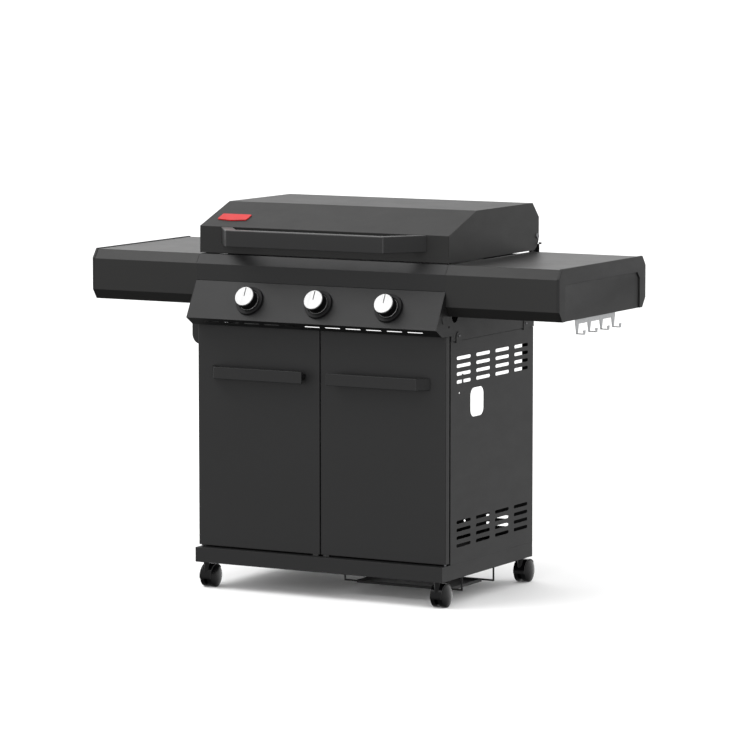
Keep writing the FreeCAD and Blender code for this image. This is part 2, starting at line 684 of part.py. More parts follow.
def firebox():
    """The open tub that holds the fire, with its rim, grate ledges, burner holes and tray rails."""
    half = d.firebox_width / 2
    wall = d.plate
    tub = box("tub", (-half, half), (d.firebox_front, d.firebox_rear), (d.firebox_bottom, d.firebox_top))
    rim = box("rim", (-d.firebox_flange, d.firebox_flange), (d.rim_front, d.rim_rear),
              (d.firebox_top - wall, d.firebox_top))
    inner_x = (wall - half, half - wall)
    inner_y = (d.firebox_front + wall, d.firebox_rear - wall)
    low = box("tub_low", inner_x, inner_y, (d.firebox_bottom + wall, d.ledge_top - wall))
    middle = box("tub_ledge", (inner_x[0] + d.ledge_width, inner_x[1] - d.ledge_width),
                 (inner_y[0] + d.ledge_width, inner_y[1] - d.ledge_width),
                 (d.ledge_top - wall - d.overcut, d.ledge_top + d.overcut))
    high = box("tub_high", inner_x, inner_y, (d.ledge_top, d.firebox_top + d.overcut))
    drip = cylinder("drip_hole", d.drip_hole_radius, d.tool,
                    (0, d.drip_hole_y, d.firebox_bottom - d.tool / 2))
    holes = [cylinder(f"burner_hole_{index}", d.burner_radius + d.burner_gap, d.tool,
                      (x, d.firebox_front - d.tool / 2, d.burner_z), "Y") for index, x in enumerate(KNOB_X)]
    shell = cut("tub_shell", fuse("tub_and_rim", tub, rim), low, middle, high, drip, *holes)
    rail_ledge = d.rail_ledge_top - d.gauge
    points = [(d.rail_half_width - d.rail_ledge_width, rail_ledge),
              (d.rail_half_width + d.gauge, rail_ledge),
              (d.rail_half_width + d.gauge, d.firebox_bottom + d.weld)]
    rail = folded("tray_rail", "XZ", points, d.gauge, -d.firebox_rear, d.firebox_rear - d.tray_front)
    node(fuse("firebox_all", shell, rail, mirror("tray_rail_left", rail)), "firebox")


def burners():
    """Three steel tubes with a row of flame ports; the open end takes the gas jet."""
    tubes = []
    for index, x in enumerate(KNOB_X):
        length = d.burner_rear - d.burner_front
        outside = cylinder(f"burner_tube_{index}", d.burner_radius, length,
                           (x, d.burner_front, d.burner_z), "Y")
        inside = cylinder(f"burner_bore_{index}", d.burner_radius - d.gauge, length,
                          (x, d.burner_front - d.gauge, d.burner_z), "Y")
        ports = [cylinder(f"port_{index}_{number}", d.port_radius, (d.burner_radius + d.overcut) * 2,
                          (x - d.burner_radius - d.overcut, d.port_first_y + number * d.port_pitch,
                           d.burner_z), "X")
                 for number in range(PORT_COUNT)]
        tubes.append(cut(f"burner_{index}", outside, inside, *ports))
    node(group("burner_group", *tubes), "burners")


def flame_tamers():
    """An inverted-V sheet over each burner, from the front wall of the firebox to its back wall."""
    sheets = []
    front = d.firebox_front + d.plate
    length = d.firebox_rear - d.plate - front
    for index, x in enumerate(KNOB_X):
        points = [(x - d.tamer_half_width, d.tamer_low), (x, d.tamer_high),
                  (x + d.tamer_half_width, d.tamer_low)]
        sheets.append(folded(f"tamer_{index}", "XZ", points, d.gauge, -(front + length), length, False))
    node(group("tamer_group", *sheets), "flame_tamers")


def cooking_grates():
    """Two rod grates side by side: long rods over three cross rods that lie on the ledges."""
    front = d.firebox_front + d.plate + d.grate_gap
    rear = d.firebox_rear - d.plate - d.grate_gap
    inner, outer = d.grate_inner, d.firebox_width / 2 - d.plate - d.grate_gap
    low_z = d.ledge_top + d.grate_rod
    rods = []
    for index in range(GRATE_ROD_COUNT):
        x = inner + d.grate_end + d.grate_pitch * index
        rods.append(cylinder(f"long_rod_{index}", d.grate_rod, rear - front,
                             (x, front, low_z + d.grate_step), "Y"))
    for index, y in enumerate((front + d.grate_end, (front + rear) / 2, rear - d.grate_end)):
        rods.append(cylinder(f"cross_rod_{index}", d.grate_rod, outer - inner, (inner, y, low_z), "X"))
    mirrored_pair(fuse("grate", *rods), "cooking_grate")


def grease_tray():
    """The shallow drawer under the drip hole, hung by its side lips and pulled out to the back."""
    half = d.tray_half_width
    pan = box("pan", (-half, half), (d.tray_front, d.tray_rear), (d.tray_bottom, d.tray_top))
    lips = box("lips", (-half - d.tray_lip, half + d.tray_lip),
               (d.tray_front, d.tray_rear - d.tray_lip_end),
               (d.tray_top - d.gauge, d.tray_top))
    hollow = box("pan_hollow", (d.gauge - half, half - d.gauge),
                 (d.tray_front + d.gauge, d.tray_rear - d.gauge),
                 (d.tray_bottom + d.gauge, d.tray_top + d.overcut))
    pull = box("pull", (-d.pull_half_width, d.pull_half_width),
               (d.tray_rear - d.weld, d.tray_rear + d.pull_reach),
               (d.tray_bottom, d.tray_bottom + d.gauge))
    node(fuse("tray_all", cut("pan_shell", fuse("pan_and_lips", pan, lips), hollow), pull), "grease_tray")


# ------------------------------------------------------------------ gas train and knobs


def gas_manifold():
    """The pipe that feeds the three valves; its inlet fitting points back, behind the left door."""
    pipe = cylinder("manifold_pipe", d.manifold_radius, d.manifold_length,
                    (-d.manifold_length / 2, d.manifold_y, d.manifold_z), "X")
    bore = cylinder("manifold_bore", d.manifold_radius - d.gauge, d.manifold_length - d.manifold_end * 2,
                    (d.manifold_end - d.manifold_length / 2, d.manifold_y, d.manifold_z), "X")
    branch = cylinder("inlet_branch", d.inlet_radius, d.inlet_y - d.manifold_y,
                      (d.inlet_x, d.manifold_y, d.manifold_z), "Y")
    drop = cylinder("inlet_drop", d.inlet_radius, d.manifold_z - d.inlet_z,
                    (d.inlet_x, d.inlet_y, d.inlet_z))
    elbows = [sphere(f"inlet_elbow_{index}", d.inlet_radius, (d.inlet_x, d.inlet_y, z))
              for index, z in enumerate((d.inlet_z, d.manifold_z))]
    spigot = cylinder("inlet_spigot", d.inlet_radius, d.inlet_end - d.inlet_y,
                      (d.inlet_x, d.inlet_y, d.inlet_z), "Y")
    nut = cylinder("inlet_nut", d.inlet_nut_radius, d.inlet_nut_length,
                   (d.inlet_x, d.inlet_nut_start, d.inlet_z), "Y")
    solid = fuse("manifold_outside", pipe, branch, drop, spigot, nut, *elbows)
    node(cut("manifold", solid, bore), "gas_manifold")


def gas_valves():
    """A brass body behind each knob: the plug's barrel, the foot on the manifold and the gas jet."""
    valves = []
    for index, x in enumerate(KNOB_X):
        barrel = cylinder(f"barrel_{index}", d.valve_radius, d.valve_outer_end - d.valve_inner_end,
                          panel_point(x, d.valve_inner_end), KNOB_AXIS)
        foot_bottom = d.manifold_z + d.manifold_radius - d.gauge
        foot = cylinder(f"valve_foot_{index}", d.boss_radius, d.burner_z - foot_bottom,
                        (x, d.manifold_y, foot_bottom))
        jet = cylinder(f"jet_{index}", d.outlet_radius, d.outlet_end - d.manifold_y,
                       (x, d.manifold_y, d.burner_z), "Y")
        cavity = cylinder(f"plug_cavity_{index}", d.plug_radius + d.running_gap,
                          d.valve_cover_start - d.plug_inner_end + d.overcut,
                          panel_point(x, d.plug_inner_end - d.overcut), KNOB_AXIS)
        mouth = cylinder(f"valve_mouth_{index}", d.stem_radius + d.stem_gap, d.tool,
                         panel_point(x, d.valve_cover_start - d.overcut), KNOB_AXIS)
        solid = fuse(f"valve_outside_{index}", barrel, foot, jet)
        valves.append(cut(f"valve_{index}", solid, cavity, mouth))
    node(group("valve_group", *valves), "gas_valves")


def knob_parts(index, x):
    """One knob, its bright cap, the stem that it pushes and the plug that the stem turns."""
    number = index + 1
    plug = cylinder(f"plug_blank_{number}", d.plug_radius, d.plug_outer_end - d.plug_inner_end,
                    panel_point(x, d.plug_inner_end), KNOB_AXIS)
    blind = cylinder(f"plug_bore_{number}", d.stem_radius + d.running_gap,
                     d.plug_outer_end - d.plug_blind_end + d.overcut,
                     panel_point(x, d.plug_blind_end), KNOB_AXIS)
    node(cut(f"plug_{number}", plug, blind), f"valve_plug_{number}")

    stem = cylinder(f"stem_blank_{number}", d.stem_radius, d.stem_outer_end - d.stem_inner_end,
                    panel_point(x, d.stem_inner_end), KNOB_AXIS)
    flat = box(f"stem_flat_{number}", (d.tool / -2, d.tool / 2), (0, d.tool), (0, d.tool * 2))
    flat.Placement = FreeCAD.Placement(Vector(), FreeCAD.Rotation(AXES["Z"], KNOB_AXIS))
    across = flat.Placement.Rotation.multVec(Vector(0, 1, 0))
    at_flat = panel_point(x, d.stem_flat_start)
    place(flat, as_size(at_flat[0]), at_flat[1] + d.stem_flat * across.y,
          at_flat[2] + d.stem_flat * across.z)
    node(cut(f"stem_{number}", stem, flat), f"valve_stem_{number}")

    blank = cone(f"knob_blank_{number}", d.knob_base_radius, d.knob_top_radius,
                 d.knob_top - d.knob_base, panel_point(x, d.knob_base), KNOB_AXIS)
    room = cylinder(f"knob_room_{number}", d.knob_base_radius - d.knob_wall,
                    d.knob_hollow_depth + d.overcut,
                    panel_point(x, d.knob_base - d.overcut), KNOB_AXIS)
    hub = cylinder(f"knob_hub_{number}", d.knob_hub_radius, d.knob_hollow_depth + d.overcut * 3,
                   panel_point(x, d.knob_base - d.overcut * 2), KNOB_AXIS)
    socket = cylinder(f"knob_socket_{number}", d.stem_radius + d.running_gap,
                      d.stem_outer_end - d.knob_base + d.overcut,
                      panel_point(x, d.knob_base - d.overcut), KNOB_AXIS)
    hollow = cut(f"knob_hollow_{number}", room, hub)
    node(cut(f"knob_shape_{number}", blank, hollow, socket), f"knob_{number}")

    disc = cylinder(f"cap_blank_{number}", d.knob_top_radius, d.cap_thickness,
                    panel_point(x, d.knob_top), KNOB_AXIS)
    crown = cone(f"cap_crown_{number}", d.knob_top_radius, d.knob_top_radius - d.cap_round, d.cap_round,
                 panel_point(x, d.knob_top + d.cap_thickness), KNOB_AXIS)
    node(fuse(f"cap_{number}", disc, crown), f"knob_cap_{number}")


def knob_bezels():
    """A dished ring on the panel round each knob."""
    rings = []
    for index, x in enumerate(KNOB_X):
        ring = cone(f"bezel_ring_{index}", d.bezel_radius, d.bezel_lip_radius, d.bezel_rise,
                    panel_point(x, 0), KNOB_AXIS)
        bore = cylinder(f"bezel_bore_{index}", d.bezel_bore, d.bezel_rise + d.overcut * 2,
                        panel_point(x, -d.overcut), KNOB_AXIS)
        rings.append(cut(f"bezel_{index}", ring, bore))
    node(group("bezel_group", *rings), "knob_bezels")


# ------------------------------------------------------------------ hood

HOOD_PROFILE = [
    (d.hood_front, d.hood_bottom), (d.hood_front, d.hood_crease), (d.hood_slope_top, d.hood_top),
    (d.hood_top_rear, d.hood_top), (d.hood_rear, d.hood_rear_crease),
]


def hood_shell():
    """The folded sheet of the hood, notched at the back so that it clears the hinge brackets."""
    half = HALF_HOOD - d.gauge
    hem = [(d.hood_front + d.hood_hem, d.hood_bottom)]
    points = hem + HOOD_PROFILE + [(d.hood_rear, d.hood_rear_bottom)]
    sheet_metal = folded("hood_sheet", "YZ", points, d.gauge, -half, half * 2, False)
    notches = [box(f"hood_notch_{side}", ends, (d.hinge_y, d.hood_rear + d.overcut),
                   (d.hood_rear_bottom - d.overcut, d.notch_top))
               for side, ends in (("right", (d.notch_inner, half + d.overcut)),
                                  ("left", (-half - d.overcut, -d.notch_inner)))]
    node(cut("hood", sheet_metal, *notches), "hood_shell")


def hood_sides():
    """The hood's end plates; each turns on a pin near its rounded lower corner."""
    points = HOOD_PROFILE + [(d.hood_rear, d.hood_bottom)]
    body = prism("hood_side", "YZ", points, HALF_HOOD - d.gauge, d.gauge)
    fillet(body, d.hood_corner_round, lambda edge: runs_along(edge, "X")
           and near(edge.Vertexes[0].Y, d.hood_rear) and near(edge.Vertexes[0].Z, d.hood_bottom))
    sketch = new_sketch(body, "YZ", HALF_HOOD - d.gauge)
    draw_circle(sketch, (d.hinge_y, d.hinge_z), d.hinge_pin_radius + d.running_gap)
    pocket(body, sketch)
    mirrored_pair(body, "hood_side")


def hood_handle():
    """The wide bar across the hood; its two legs run back to the hood's front."""
    points = [(-d.handle_root, d.hood_front), (-d.handle_half_bar, d.handle_front),
              (d.handle_half_bar, d.handle_front), (d.handle_root, d.hood_front)]
    leg_run = as_vector(points[1]) - as_vector(points[0])
    slope = abs(leg_run.x / leg_run.y)

    def inset(depth):
        """The outline moved in by a depth, with its ends still on the hood."""
        leg_width = depth * (leg_run.Length / abs(leg_run.y))
        return [(d.handle_root - leg_width, d.hood_front),
                (d.handle_half_bar - leg_width + depth * slope, d.handle_front + depth)]

    def mirrored(half):
        return [(-1 * x, y) for x, y in half]

    inner = inset(d.handle_bar_depth)
    body = prism("handle", "XY", points + inner + mirrored(inner[::-1]), d.handle_bottom,
                 d.handle_top - d.handle_bottom)
    fillet(body, d.handle_round, lambda edge: runs_along(edge, "Z")
           and not near(edge.Vertexes[0].Y, d.hood_front))
    fillet(body, d.handle_edge_round, lambda edge: near(edge.BoundBox.ZMin, d.handle_top)
           and not near(edge.BoundBox.YMin, d.hood_front))
    node(body, "hood_handle")


def hood_hinge():
    """Brackets on the back of the frame, each with a flange behind the hood's lower rear corner."""
    start = d.bracket_x
    plate_points = [
        (d.cabinet_rear, d.bracket_low), (d.bracket_rear, d.flange_low),
        (d.bracket_rear, d.hinge_z + d.bracket_nose),
        (d.hinge_y + d.bracket_nose, d.hinge_z + d.bracket_crown),
        (d.hinge_y - d.bracket_nose, d.hinge_z + d.bracket_crown), (d.cabinet_rear, d.bracket_high)]
    body = prism("bracket", "YZ", plate_points, start, d.bracket_thickness)
    foot = new_sketch(body, "XZ", -d.cabinet_rear - d.gauge)
    foot_inner, foot_outer = start - d.bracket_foot_width, start + d.bracket_thickness
    draw_polygon(foot, [(foot_inner, d.bracket_low), (foot_outer, d.bracket_low),
                        (foot_outer, d.bracket_foot_top), (foot_inner, d.bracket_foot_top)])
    pad(body, foot, d.gauge)
    flange = new_sketch(body, "XZ", -d.bracket_rear)
    draw_polygon(flange, [
        (d.flange_inner, d.flange_low), (d.flange_outer, d.flange_low), (d.flange_outer, d.flange_top),
        (d.flange_hook_x, d.flange_hook_low), (d.flange_hook_x, d.flange_hook_top),
        (d.flange_clear_x, d.flange_hook_top), (d.flange_clear_x, d.flange_top),
        (d.flange_inner, d.flange_top)])
    pad(body, flange, d.gauge)
    sketch = new_sketch(body, "YZ", start)
    draw_circle(sketch, (d.hinge_y, d.hinge_z), d.hinge_pin_radius)
    pocket(body, sketch)
    node(group("bracket_pair", body, mirror("bracket_left", body)), "hood_hinge_brackets")


def hinge_pins():
    """The two hood pins with their caps, and the upper and lower pin of each door."""
    shank_start = d.bracket_x - d.bracket_thickness
    cap_start = HALF_HOOD + d.hinge_cap_gap
    shank = cylinder("hood_pin_shank", d.hinge_pin_radius, cap_start - shank_start,
                     (shank_start, d.hinge_y, d.hinge_z), "X")
    cap = cone("hood_pin_cap", d.hinge_cap_radius, d.hinge_cap_radius - d.hinge_cap_chamfer,
               d.hinge_cap_height,
               (cap_start, d.hinge_y, d.hinge_z), "X")
    hood_pin = fuse("hood_pin", shank, cap)
    lower = cylinder("door_pin_lower", d.door_pin_radius, d.door_pin_length,
                     (d.door_pin_x, d.door_pin_y, d.base_top))
    upper = cylinder("door_pin_upper", d.door_pin_radius, d.door_pin_length,
                     (d.door_pin_x, d.door_pin_y, d.ear_bottom - d.door_pin_length))
    right = [hood_pin, lower, upper]
    left = [mirror(f"{item.Name}_left", item) for item in right]
    node(group("pin_group", *right, *left), "hinge_pins")


def badge():
    """A plain badge on the sloping face of the hood; its lower edge comes to a shallow point."""
    slope = (as_vector(HOOD_PROFILE[2]) - as_vector(HOOD_PROFILE[1])).normalize()
    body = new_body("badge_plate")
    sketch = new_sketch(body, "XY", 0)
    half_width, half_height = d.badge_width / 2, d.badge_height / 2
    draw_polygon(sketch, [(-half_width, half_height), (-half_width, -half_height),
                          (0, -half_height - d.badge_point), (half_width, -half_height),
                          (half_width, half_height)])
    pad(body, sketch, d.badge_thickness)
    fillet(body, d.badge_round, lambda edge: runs_along(edge, "Z") and not near(edge.Vertexes[0].X, 0))
    body.Placement = FreeCAD.Placement(
        Vector(), FreeCAD.Rotation(AXES["Y"], Vector(0, slope.x, slope.y)))
    place(body, d.badge_x, d.hood_front + d.badge_slope_middle * slope.x,
          d.hood_crease + d.badge_slope_middle * slope.y)
    node(body, "badge")


# ------------------------------------------------------------------ doors


def doors():
    """Shallow pressed doors, open at the back, that turn on pins near their outer edges."""
    body = new_body("door")
    outer_x = HALF_CABINET
    sketch = new_sketch(body, "XY", d.door_bottom)
    draw_polygon(sketch, [(d.door_gap, d.door_front), (outer_x, d.door_front), (outer_x, d.door_rear),
                          (d.door_gap, d.door_rear)])
    pad(body, sketch, d.door_top - d.door_bottom)
    fillet(body, d.door_edge_round, lambda edge: runs_along(edge, "Z")
           and near(edge.Vertexes[0].Y, d.door_front))
    hollow = new_sketch(body, "XZ", -d.door_rear)
    left, right = d.door_gap + d.gauge, outer_x - d.gauge
    low, high = d.door_bottom + d.gauge, d.door_top - d.gauge
    draw_polygon(hollow, [(left, low), (right, low), (right, high), (left, high)])
    pocket(body, hollow, d.door_rear - d.door_front - d.gauge)
    pin_holes = new_sketch(body, "XY", d.door_bottom)
    draw_circle(pin_holes, (d.door_pin_x, d.door_pin_y), d.door_pin_radius + d.running_gap)
    pocket(body, pin_holes)
    mirrored_pair(body, "door")


def door_handles():
    """A flat bar that bends back to the door at its outer end and stands on a post at the other."""
    points = [(d.door_bar_inner, d.door_bar_front), (d.door_bar_outer, d.door_bar_front),
              (d.door_bar_foot, d.door_front)]
    bar = folded("door_bar", "XY", points, d.door_bar_depth, d.door_bar_bottom,
                 d.door_bar_top - d.door_bar_bottom)
    trim = box("door_bar_trim", (d.door_bar_outer - d.tool, d.door_bar_foot + d.tool),
               (d.door_front, d.door_front + d.tool),
               (d.door_bar_bottom - d.overcut, d.door_bar_top + d.overcut))
    middle_z = (d.door_bar_bottom + d.door_bar_top) / 2
    post = box("door_post", (d.door_post_x - d.door_post_width / 2, d.door_post_x + d.door_post_width / 2),
               (d.door_bar_front + d.door_bar_depth - d.weld, d.door_front),
               (middle_z - d.door_post_height / 2, middle_z + d.door_post_height / 2))
    mirrored_pair(fuse("door_handle", cut("door_bar_cut", bar, trim), post), "door_handle")


def door_catch():
    """The two magnet blocks on the base that the doors close on."""
    blocks = [box(f"catch_{side}", ends, (d.catch_front, d.catch_rear),
                  (d.base_top, d.base_top + d.catch_height))
              for side, ends in (("right", (d.catch_inner, d.catch_outer)),
                                 ("left", (-d.catch_outer, -d.catch_inner)))]
    node(group("catch_group", *blocks), "door_catch")


# ------------------------------------------------------------------ shelves and their fittings

SHELF_TOP_EDGES = [
    (d.fascia_front, d.shelf_face_bottom), (d.fascia_front, d.shelf_height - d.shelf_chamfer_drop),
    (d.fascia_edge, d.shelf_height), (d.shelf_rear_edge, d.shelf_height),
    (d.shelf_rear, d.shelf_height - d.shelf_chamfer_drop), (d.shelf_rear, d.shelf_face_bottom),
]


def shelves():
    """A folded sheet each side, open below, with chamfered edges and returns at the bottom."""
    points = ([(d.fascia_edge + d.shelf_return, d.shelf_bottom), (d.fascia_edge, d.shelf_bottom)]
              + SHELF_TOP_EDGES
              + [(d.shelf_rear_edge, d.shelf_bottom), (d.shelf_rear_edge - d.shelf_return, d.shelf_bottom)])
    length = d.overall_width / 2 - d.end_cap_depth - HALF_FRAME
    body = folded("shelf", "YZ", points, d.gauge, HALF_FRAME, length, False)
    mirrored_pair(body, "shelf")


def shelf_end_caps():
    """The caps on the outer ends of the shelves, with a sunken field that is open below."""
    rise = d.end_cap_rise
    outline = [
        (d.fascia_edge, d.shelf_bottom), (d.fascia_front, d.shelf_face_bottom),
        (d.fascia_front, d.shelf_height - d.shelf_chamfer_drop + rise),
        (d.fascia_edge, d.shelf_height + rise), (d.shelf_rear_edge, d.shelf_height + rise),
        (d.shelf_rear, d.shelf_height - d.shelf_chamfer_drop + rise),
        (d.shelf_rear, d.shelf_face_bottom), (d.shelf_rear_edge, d.shelf_bottom)]
    start = d.overall_width / 2 - d.end_cap_depth
    body = prism("end_cap", "YZ", outline, start, d.end_cap_depth)
    fillet(body, d.end_cap_round, lambda edge: near(edge.BoundBox.XMin, d.overall_width / 2))
    margin = d.end_cap_wall
    hollow = new_sketch(body, "YZ", start)
    draw_polygon(hollow, [
        (d.fascia_edge + margin, d.shelf_bottom + margin), (d.fascia_front + margin, d.shelf_face_bottom),
        (d.fascia_front + margin, d.shelf_height - d.shelf_chamfer_drop),
        (d.fascia_edge + margin, d.shelf_height - margin),
        (d.shelf_rear_edge - margin, d.shelf_height - margin),
        (d.shelf_rear - margin, d.shelf_height - d.shelf_chamfer_drop),
        (d.shelf_rear - margin, d.shelf_face_bottom),
        (d.shelf_rear_edge - margin, d.shelf_bottom + margin)])
    pocket(body, hollow, d.end_cap_hollow)
    recess = new_sketch(body, "YZ", d.overall_width / 2 - d.recess_depth)
    recess_low = d.shelf_bottom - d.overcut
    draw_polygon(recess, [
        (d.recess_front, recess_low), (d.recess_front, d.recess_side),
        (d.recess_front_bend, d.recess_top), (d.recess_rear_bend, d.recess_top),
        (d.recess_rear, d.recess_rear_side), (d.recess_rear, recess_low)])
    pocket(body, recess, d.recess_depth + d.overcut)
    mirrored_pair(body, "shelf_end_cap")


def hook_rail():
    """The strip of tool hooks under the right shelf."""
    x, gauge = d.hook_rail_x, d.plate
    low_y, high_y = d.shelf_middle_y - d.hook_rail_half, d.shelf_middle_y + d.hook_rail_half
    top = d.shelf_height - d.gauge
    angle = [(x - d.hook_rail_flange, top), (x, top), (x, d.hook_rail_bottom)]
    pieces = [folded("hook_strip", "XZ", angle, gauge, -high_y, high_y - low_y, False)]
    root = d.hook_rail_bottom + gauge
    bend = [(x - gauge, root), (x - gauge, d.hook_bottom),
            (x + d.hook_reach, d.hook_bottom), (x + d.hook_reach, d.hook_bottom + d.hook_tip)]
    for index in range(HOOK_COUNT):
        y = d.shelf_middle_y + d.hook_pitch * (index - (HOOK_COUNT - 1) / 2)
        strip = folded(f"hook_bend_{index}", "XZ", bend, gauge, -y - d.hook_wide / 2, d.hook_wide)
        half_wide, half_narrow = d.hook_wide / 2, d.hook_narrow / 2
        neck, below = d.hook_bottom + gauge * 2, d.hook_bottom - d.overcut
        taper = prism(f"hook_taper_{index}", "YZ", [
            (y - half_wide, root), (y - half_narrow, neck), (y - half_narrow, below),
            (y + half_narrow, below), (y + half_narrow, neck), (y + half_wide, root)],
            x - d.tool / 2, d.hook_reach + d.tool)
        tip = box(f"hook_tip_{index}", (x + gauge, x + d.hook_reach + gauge * 2),
                  (y - half_narrow, y + half_narrow), (below, d.hook_bottom + d.hook_tip + d.overcut))
        pieces.append(common(f"hook_{index}", strip, fuse(f"hook_outline_{index}", taper, tip)))
    node(fuse("hooks", *pieces), "hook_rail")


def bottle_opener():
    """A small plate that stands out from the left side of the cabinet."""
    x = -HALF_FRAME
    outer = x - d.opener_reach
    body = prism("opener", "XZ", [(outer, d.opener_bottom), (x, d.opener_bottom), (x, d.opener_top),
                                  (outer, d.opener_top)], -d.opener_front - d.gauge, d.gauge)
    fillet(body, d.opener_round, lambda edge: runs_along(edge, "Y") and near(edge.Vertexes[0].X, outer)
           and near(edge.Vertexes[0].Z, d.opener_bottom))
    flange = new_sketch(body, "XY", d.opener_flange_bottom)
    draw_polygon(flange, [(x - d.gauge, d.opener_front), (x, d.opener_front), (x, d.opener_rear),
                          (x - d.gauge, d.opener_rear)])
    pad(body, flange, d.opener_top - d.opener_flange_bottom)
    node(body, "bottle_opener")


def match_holder():
    """A thin rod on clips inside the right side of the cabinet; a match is clamped in its end."""
    x = HALF_CABINET - d.match_inset
    rod = cylinder("match_rod", d.match_radius, d.match_length, (x, d.match_y, d.match_bottom))
    clips = [box(f"match_clip_{place_name}", (x - d.match_clip_side, HALF_CABINET - d.gauge),
                 (d.match_y - d.match_clip_reach, d.match_y + d.match_clip_reach),
                 (low, low + d.match_clip_reach))
             for place_name, low in (("low", d.match_clip_low), ("high", d.match_clip_high))]
    node(fuse("match_all", rod, *clips), "match_holder")


def bottle_tray():
    """The tray that the gas bottle stands in, hung from the base on two bent wires."""
    half_length, half_depth = d.bottle_tray_length / 2, d.bottle_tray_depth / 2
    low, high = d.bottle_tray_bottom, d.bottle_tray_bottom + d.bottle_tray_rim
    pan = box("bottle_pan", (d.bottle_x - half_length, d.bottle_x + half_length),
              (d.bottle_y - half_depth, d.bottle_y + half_depth), (low, high))
    hollow = box("bottle_pan_hollow",
                 (d.bottle_x - half_length + d.gauge, d.bottle_x + half_length - d.gauge),
                 (d.bottle_y - half_depth + d.gauge, d.bottle_y + half_depth - d.gauge),
                 (low + d.gauge, high + d.overcut))
    pieces = [cut("bottle_pan_shell", pan, hollow)]
    wire_z = high - d.wire_radius
    rise = d.base_top - d.gauge - wire_z
    for side in (-1, 1):
        wire_y = d.bottle_y + (half_depth + d.wire_offset) * side
        pieces.append(cylinder(f"wire_{side + 1}", d.wire_radius, d.wire_half_length * 2,
                               (d.bottle_x - d.wire_half_length, wire_y, wire_z), "X"))
        for end in (-1, 1):
            end_x = d.bottle_x + d.wire_half_length * end
            pieces.append(cylinder(f"wire_end_{side + 1}_{end + 1}", d.wire_radius, rise,
                                   (end_x, wire_y, wire_z)))
            pieces.append(sphere(f"wire_bend_{side + 1}_{end + 1}", d.wire_radius, (end_x, wire_y, wire_z)))
    node(fuse("bottle_tray_all", *pieces), "gas_bottle_tray")


def screws():
    """The screw heads that show on the joining tabs of both sides."""
    heads = []
    for index, (y, z) in enumerate(((d.front_tab_y, d.front_screw_z), (d.rear_tab_y, d.rear_screw_z))):
        heads.append(cone(f"screw_{index}", d.screw_radius, d.screw_radius - d.screw_chamfer,
                          d.screw_height, (HALF_FRAME + d.gauge, y, z), "X"))
    heads += [mirror(f"{head.Name}_left", head) for head in heads]
    node(group("screw_group", *heads), "screws")


# ------------------------------------------------------------------ casters


def casters():
    """Four twin-wheel swivel casters; each wheel axle trails behind its swivel axis."""
    sockets = []
    for name, side, y in (("front_right", 1, d.front_caster_y), ("front_left", -1, d.front_caster_y),
                          ("rear_right", 1, d.rear_caster_y), ("rear_left", -1, d.rear_caster_y)):
        x = d.caster_x * side
        axle_y = y + d.caster_trail
        plate = box(f"socket_plate_{name}", (x - d.socket_plate, x + d.socket_plate),
                    (y - d.socket_plate, y + d.socket_plate),
                    (d.caster_height, d.caster_height + d.socket_plate_thickness))
        sleeve = cylinder(f"socket_sleeve_{name}", d.socket_radius,
                          d.base_top - d.gauge - d.caster_height, (x, y, d.caster_height))
        bore = cylinder(f"socket_bore_{name}", d.caster_stem_radius + d.running_gap,
                        d.base_top - d.caster_height, (x, y, d.caster_height - d.overcut))
        sockets.append(cut(f"socket_{name}", fuse(f"socket_solid_{name}", plate, sleeve), bore))

        def across(part, radius, half):
            """A round bar of a half length on the wheel axis."""
            return cylinder(f"{part}_{name}", radius, half * 2, (x - half, axle_y, d.wheel_radius), "X")

        room = across("wheel_room", d.hood_inner_radius, d.hood_half_width + d.overcut)
        limit = box(f"hood_limit_{name}", (x - d.hood_half_width, x + d.hood_half_width),
                    (axle_y - d.hood_outer_radius, axle_y + d.hood_rear_reach),
                    (d.hood_low, d.caster_height))
        arch = cut(f"arch_{name}", across("arch_outer", d.hood_outer_radius, d.hood_half_width), room)
        wheel_hood = common(f"wheel_hood_{name}", arch, limit)
        web_limit = box(f"web_limit_{name}", (x - d.caster_web, x + d.caster_web),
                        (axle_y - d.hood_outer_radius, axle_y + d.hood_rear_reach),
                        (d.wheel_radius, d.caster_height))
        web_top = common(f"web_top_{name}", across("web_outer", d.hood_outer_radius, d.caster_web),
                         web_limit)
        web = across("web", d.web_radius, d.caster_web)
        post = cylinder(f"post_{name}", d.post_radius, d.caster_height - d.post_bottom - d.panel_gap,
                        (x, y, d.post_bottom))
        collar = cut(f"collar_{name}", post, room)
        stem = cylinder(f"caster_stem_{name}", d.caster_stem_radius,
                        d.caster_stem_top - d.caster_stem_bottom, (x, y, d.caster_stem_bottom))
        axle_hole = across("axle_hole", d.axle_radius + d.running_gap, d.caster_web + d.overcut)
        fork = fuse(f"fork_solid_{name}", wheel_hood, web_top, web, collar, stem)
        node(cut(f"fork_{name}", fork, axle_hole), f"caster_fork_{name}")

        dome_rise = d.wheel_outer - d.tread_outer
        dome_radius = (d.wheel_radius * d.wheel_radius + dome_rise * dome_rise) / (dome_rise * 2)
        wheels = []
        for label, start, direction in (("inner", x - d.wheel_outer, -1), ("outer", x + d.wheel_inner, 1)):
            disc = cylinder(f"wheel_disc_{label}_{name}", d.wheel_radius, d.wheel_outer - d.wheel_inner,
                            (start, axle_y, d.wheel_radius), "X")
            dome = sphere(f"wheel_dome_{label}_{name}", dome_radius,
                          (x + (d.wheel_outer - dome_radius) * direction, axle_y, d.wheel_radius))
            wheels.append(common(f"wheel_{label}_{name}", disc, dome))
        axle = across("axle", d.axle_radius, d.axle_half_length)
        node(fuse(f"wheel_pair_{name}", *wheels, axle), f"caster_wheels_{name}")
    node(group("socket_group", *sockets), "caster_sockets")


# ------------------------------------------------------------------ build, check and export

